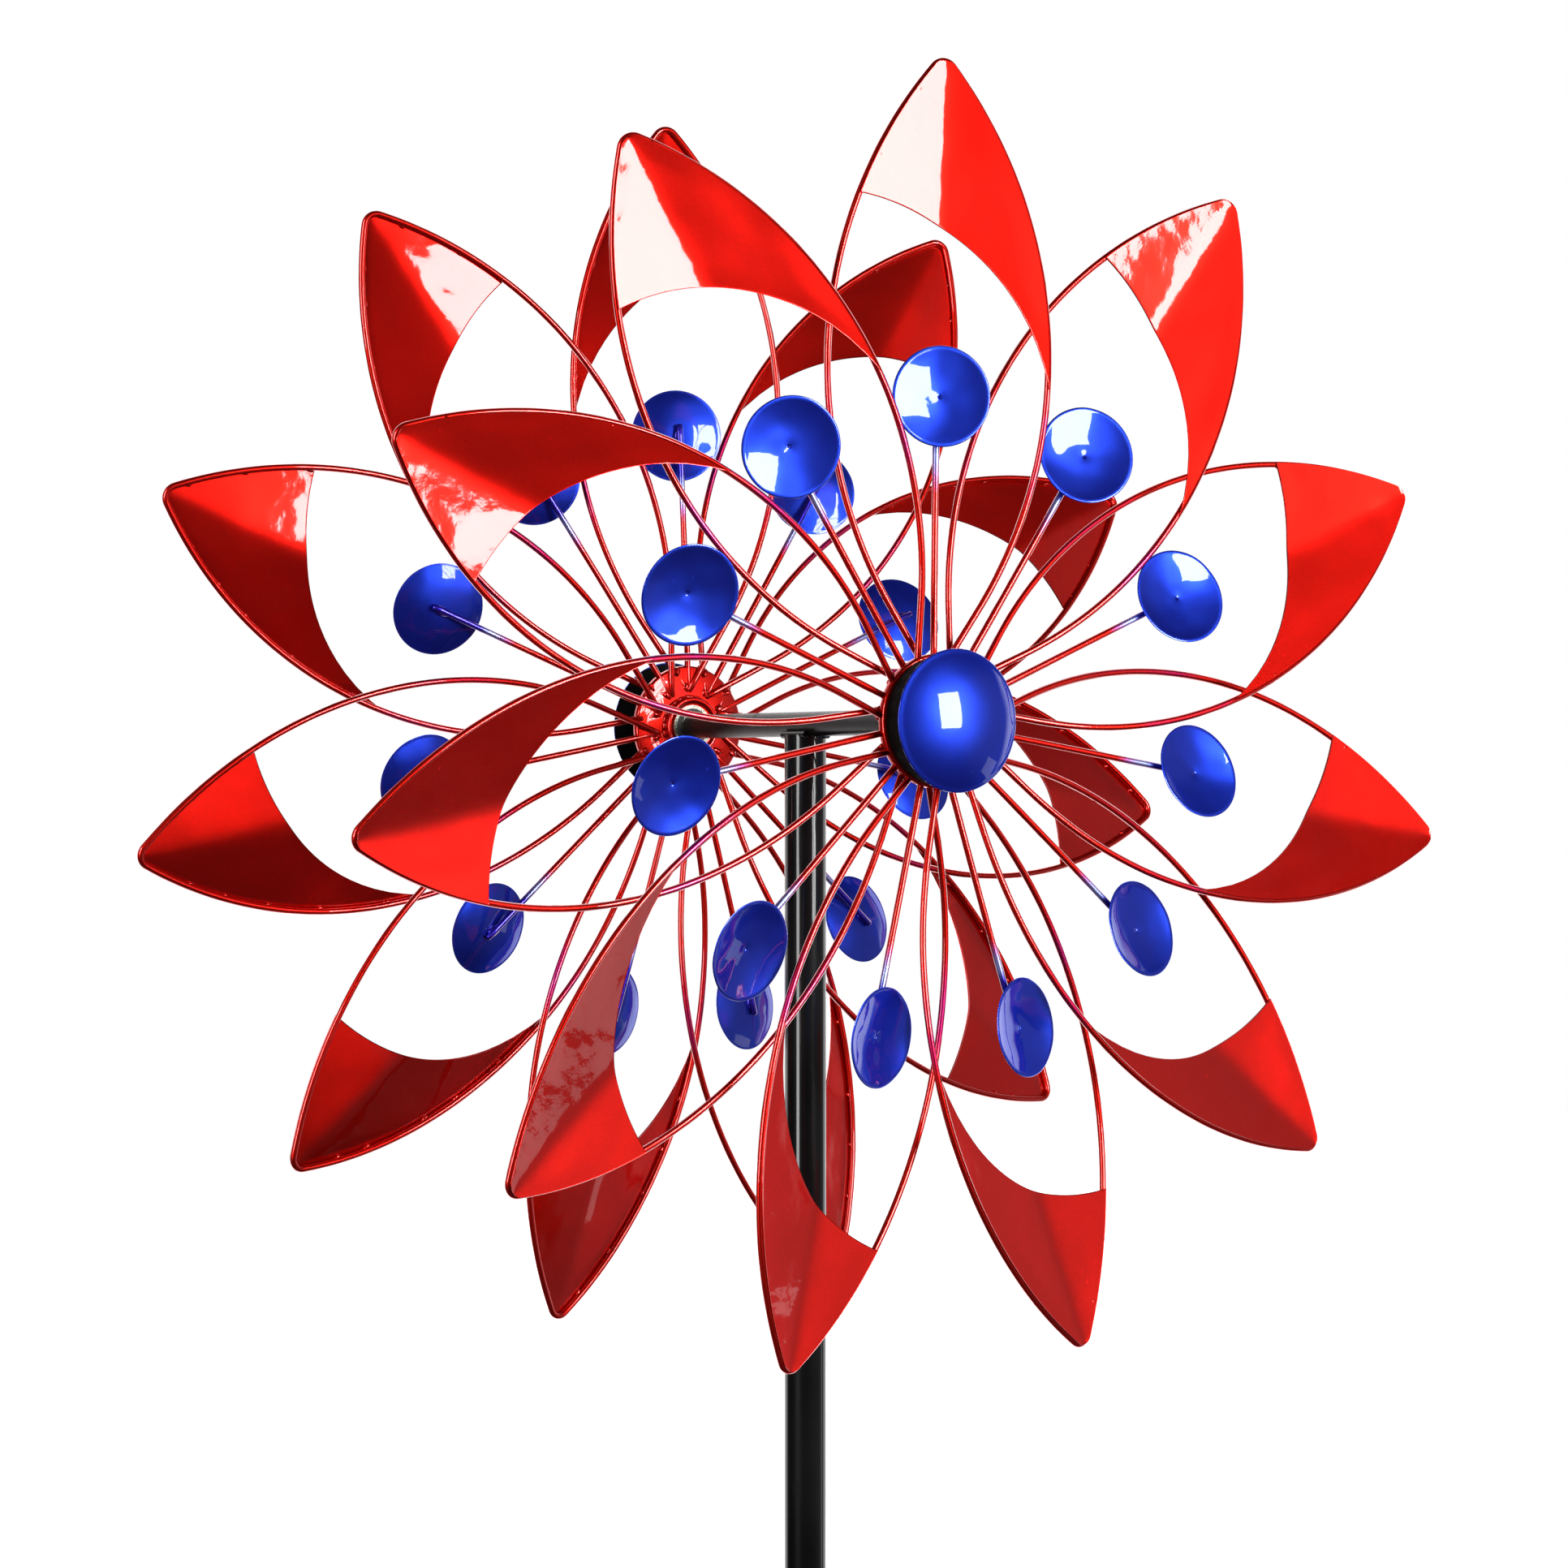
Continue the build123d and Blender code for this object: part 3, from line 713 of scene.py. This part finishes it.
def hub(name, rng):
    body = f"{name}_rotor"
    m = axle_matrix(name)
    plate = Shape()
    top, low = PLATE_AXIAL + PLATE_T, PLATE_AXIAL
    plate.lathe(m, [
        (COLLAR_R - 0.3, low), (PLATE_R - PLATE_EDGE, low), (PLATE_R - 0.3, low + 0.35),
        (PLATE_R, low + PLATE_EDGE), (PLATE_R, top - PLATE_EDGE), (PLATE_R - 0.3, top - 0.35),
        (PLATE_R - PLATE_EDGE, top), (COLLAR_R - 0.3, top),
        (COLLAR_R - 0.3, low),
    ], sides=HUB_SIDES)
    turn = m.to_3x3()
    for k in range(PETALS):
        petal = petal_matrix(name, k)
        flat = petal.to_3x3()
        for sign in (1, -1):
            for u, reach in WELD_RADII:
                centre = petal @ Vector((u + rng.uniform(-0.8, 0.8), sign * leg_y(u), 0))
                on_plate = m.inverted() @ centre
                on_plate.z = low - 0.1 + rng.uniform(-0.3, 0.3)
                axes = (
                    flat @ Vector((reach, 0, 0)), flat @ Vector((0, rng.uniform(1.3, 1.8), 0)),
                    turn @ Vector((0, 0, rng.uniform(0.9, 1.4))),
                )
                plate.blob(m @ on_plate, axes, rng.random() * 30, 0.35, 8, 12)
    place(f"hub_disc_{name}", plate, body, [f"hub_plate_{name}"], RED_HUB)

    collar = Shape()
    mouth = COLLAR_START + COLLAR_MOUTH_DEPTH
    collar.lathe(m, [
        (BEARING_R + BEARING_PLAY, mouth), (COLLAR_MOUTH_R, mouth),
        (COLLAR_MOUTH_R, COLLAR_START + 0.3), (COLLAR_MOUTH_R + 0.3, COLLAR_START),
        (COLLAR_R - 0.9, COLLAR_START),
        (COLLAR_R - 0.25, COLLAR_START + 0.25), (COLLAR_R, COLLAR_START + 0.9),
        (COLLAR_R, low - 1.2), (COLLAR_R, COLLAR_END), (BEARING_R + BEARING_PLAY, COLLAR_END),
        (BEARING_R + BEARING_PLAY, mouth),
    ], sides=HUB_SIDES)
    for i in range(COLLAR_BEADS):
        a = 2 * math.pi * (i + rng.uniform(-0.3, 0.3)) / COLLAR_BEADS
        out = Vector((math.cos(a), math.sin(a), 0))
        along = Vector((-math.sin(a), math.cos(a), 0))
        centre = m @ (out * (COLLAR_R + 0.3) + Vector((0, 0, low - 0.5)))
        axes = (turn @ out * 0.9, turn @ along * 2.4, turn @ Vector((0, 0, 0.8)))
        collar.blob(centre, axes, rng.random() * 30, 0.3, 6, 10)
    place(f"collar_{name}", collar, body, [f"bearing_collar_{name}"], RED_HUB)

    drum = Shape()
    base = top
    drum.lathe(m, [
        (COLLAR_R + 0.2, base), (DRUM_BASE_R - 0.8, base), (DRUM_BASE_R - 0.2, base + 0.25),
        (DRUM_BASE_R + 0.15, base + 0.9), (DRUM_R - 0.3, DRUM_END - 1.6), (DRUM_R, DRUM_END - 1.2),
        (DRUM_R, DRUM_END - DRUM_LIP), (DRUM_R - DRUM_WALL, DRUM_END - DRUM_LIP),
        (DRUM_BASE_R - DRUM_WALL, base + DRUM_WALL), (COLLAR_R + 0.2, base + DRUM_WALL),
        (COLLAR_R + 0.2, base),
    ], sides=HUB_SIDES)
    place(f"drum_{name}", drum, body, [f"hub_drum_{name}"], DRUM_BLACK)

    dome = Shape()
    raised = m @ Matrix.Translation((0, 0, DRUM_END))
    dome.lathe(raised, cap_outline(DOME_R, DOME_RISE, DOME_T), sides=96, bump=0.1)
    place(f"dome_{name}", dome, body, [f"dome_cap_{name}"], BLUE_PAINT)


for side_name in SIDES:
    draw = random.Random(f"{side_name} rotor")
    petal_wires(side_name, draw)
    for arm in range(PETALS):
        blade(side_name, arm, draw)
    spokes(side_name, draw)
    discs(side_name, draw)
    hub(side_name, draw)


# ---- Floor ----
ground = cad_box[0][2]
floor_mesh = bpy.data.meshes.new("floor")
FLOOR = 12.0  # half width, metres
FLOOR_GLOW = 0.9
corners = [(-FLOOR, -FLOOR), (FLOOR, -FLOOR), (FLOOR, FLOOR), (-FLOOR, FLOOR)]
floor_mesh.from_pydata([(x, y, ground) for x, y in corners], [], [(0, 1, 2, 3)])
floor = bpy.data.objects.new("floor", floor_mesh)
bpy.context.scene.collection.objects.link(floor)
floor_nodes = Nodes("pale_floor")
floor_nodes.shader.inputs["Emission Color"].default_value = rgb(1.0, 1.0, 1.0)
floor_nodes.shader.inputs["Emission Strength"].default_value = FLOOR_GLOW
floor_color = floor_nodes.blend(floor_nodes.noise(1.5), rgb(0.86, 0.86, 0.86), rgb(0.9, 0.9, 0.9))
floor_mesh.materials.append(floor_nodes.finish(color=floor_color, roughness=0.7))
floor.visible_glossy = False
floor.visible_diffuse = False

# ---- Camera ----
# Place in metres, angles in degrees. The extra yaw and pitch move the object off the middle.
EYE = Vector((-1.0199, -1.5618, AXLE_HEIGHT * MM - 0.0279))
AIM_AZIMUTH, AIM_ELEVATION = -33.149, -0.858
EXTRA_YAW, EXTRA_PITCH = -0.3207, 0.8913
LENS_MM, SENSOR_MM = 88.40, 36.0


def camera_rotation():
    """Rows are the camera's right, up and back directions."""
    a, e = math.radians(AIM_AZIMUTH), math.radians(AIM_ELEVATION)
    back = Vector((math.sin(a) * math.cos(e), -math.cos(a) * math.cos(e), math.sin(e)))
    right = Vector((0, 0, 1)).cross(back).normalized()
    level = Matrix((right, back.cross(right), back))
    yaw = Matrix.Rotation(math.radians(EXTRA_YAW), 3, "Y")
    pitch = Matrix.Rotation(math.radians(EXTRA_PITCH), 3, "X")
    return (pitch @ yaw @ level).transposed()


camera_data = bpy.data.cameras.new("camera")
camera_data.lens = LENS_MM
camera_data.sensor_width = SENSOR_MM
camera = bpy.data.objects.new("camera", camera_data)
bpy.context.scene.collection.objects.link(camera)
camera.matrix_world = Matrix.Translation(EYE) @ camera_rotation().to_4x4()
bpy.context.scene.camera = camera


# ---- Light ----
HUB = Vector((0, 0, AXLE_HEIGHT * MM))


def softbox(name, offset, width, height, radiance):
    """Area light at an offset from the middle of the axle, facing it."""
    data = bpy.data.lights.new(name, "AREA")
    data.shape = "RECTANGLE"
    data.size, data.size_y = width, height
    data.energy = radiance * math.pi * width * height
    light = bpy.data.objects.new(name, data)
    bpy.context.scene.collection.objects.link(light)
    turn = Vector(offset).to_track_quat("Z", "Y").to_matrix().to_4x4()
    light.matrix_world = Matrix.Translation(HUB + Vector(offset)) @ turn
    light.visible_camera = False


softbox("key", (0.331, -1.275, 0.186), 0.50, 0.67, 34.0)
softbox("fill", (-2.50, -0.69, 0.23), 0.75, 1.7, 20.0)
softbox("low_card", (1.25, -0.48, -0.60), 0.34, 0.26, 1.5)

world = bpy.data.worlds.new("studio")
bpy.context.scene.world = world
world.use_nodes = True
tree = world.node_tree
tree.nodes.clear()


def world_node(kind, **settings):
    node = tree.nodes.new(kind)
    for key, value in settings.items():
        setattr(node, key, value)
    return node


# The white backdrop hangs behind the object, a dim reflector stands to the right of it,
# and the rest of the room is dark.
ROOM_LEVEL = 0.04
BACKDROP = {"azimuth": 147.0, "half_angle": 62.0, "softness": 5.0, "level": 2.2}
REFLECTOR = {"azimuth": 58.0, "half_angle": 24.0, "softness": 16.0, "level": 0.30}
WHITE = rgb(1.0, 1.0, 1.0)
coords = world_node("ShaderNodeTexCoord")


def wall_glow(azimuth, half_angle, softness, level):
    """Light from a round patch of the room, by the azimuth of its middle."""
    facing = world_node("ShaderNodeVectorMath", operation="DOT_PRODUCT")
    tree.links.new(coords.outputs["Generated"], facing.inputs[0])
    turn = math.radians(azimuth)
    facing.inputs[1].default_value = (math.sin(turn), -math.cos(turn), 0.0)
    patch = world_node("ShaderNodeMapRange", interpolation_type="SMOOTHSTEP")
    tree.links.new(facing.outputs["Value"], patch.inputs["Value"])
    patch.inputs[1].default_value = math.cos(math.radians(half_angle + softness))
    patch.inputs[2].default_value = math.cos(math.radians(half_angle - softness))
    patch.inputs[3].default_value = 0.5 * ROOM_LEVEL
    patch.inputs[4].default_value = level
    return patch.outputs[0]


total = world_node("ShaderNodeMath", operation="ADD")
tree.links.new(wall_glow(**BACKDROP), total.inputs[0])
tree.links.new(wall_glow(**REFLECTOR), total.inputs[1])
studio = world_node("ShaderNodeBackground")
studio.inputs[0].default_value = WHITE
tree.links.new(total.outputs[0], studio.inputs["Strength"])
# The camera itself sees plain white.
backdrop = world_node("ShaderNodeBackground")
backdrop.inputs[0].default_value = WHITE
backdrop.inputs["Strength"].default_value = 1.0
path = world_node("ShaderNodeLightPath")
choose = world_node("ShaderNodeMixShader")
tree.links.new(path.outputs["Is Camera Ray"], choose.inputs[0])
tree.links.new(studio.outputs[0], choose.inputs[1])
tree.links.new(backdrop.outputs[0], choose.inputs[2])
output = world_node("ShaderNodeOutputWorld")
tree.links.new(choose.outputs[0], output.inputs[0])

bpy.context.scene.view_settings.view_transform = "Standard"
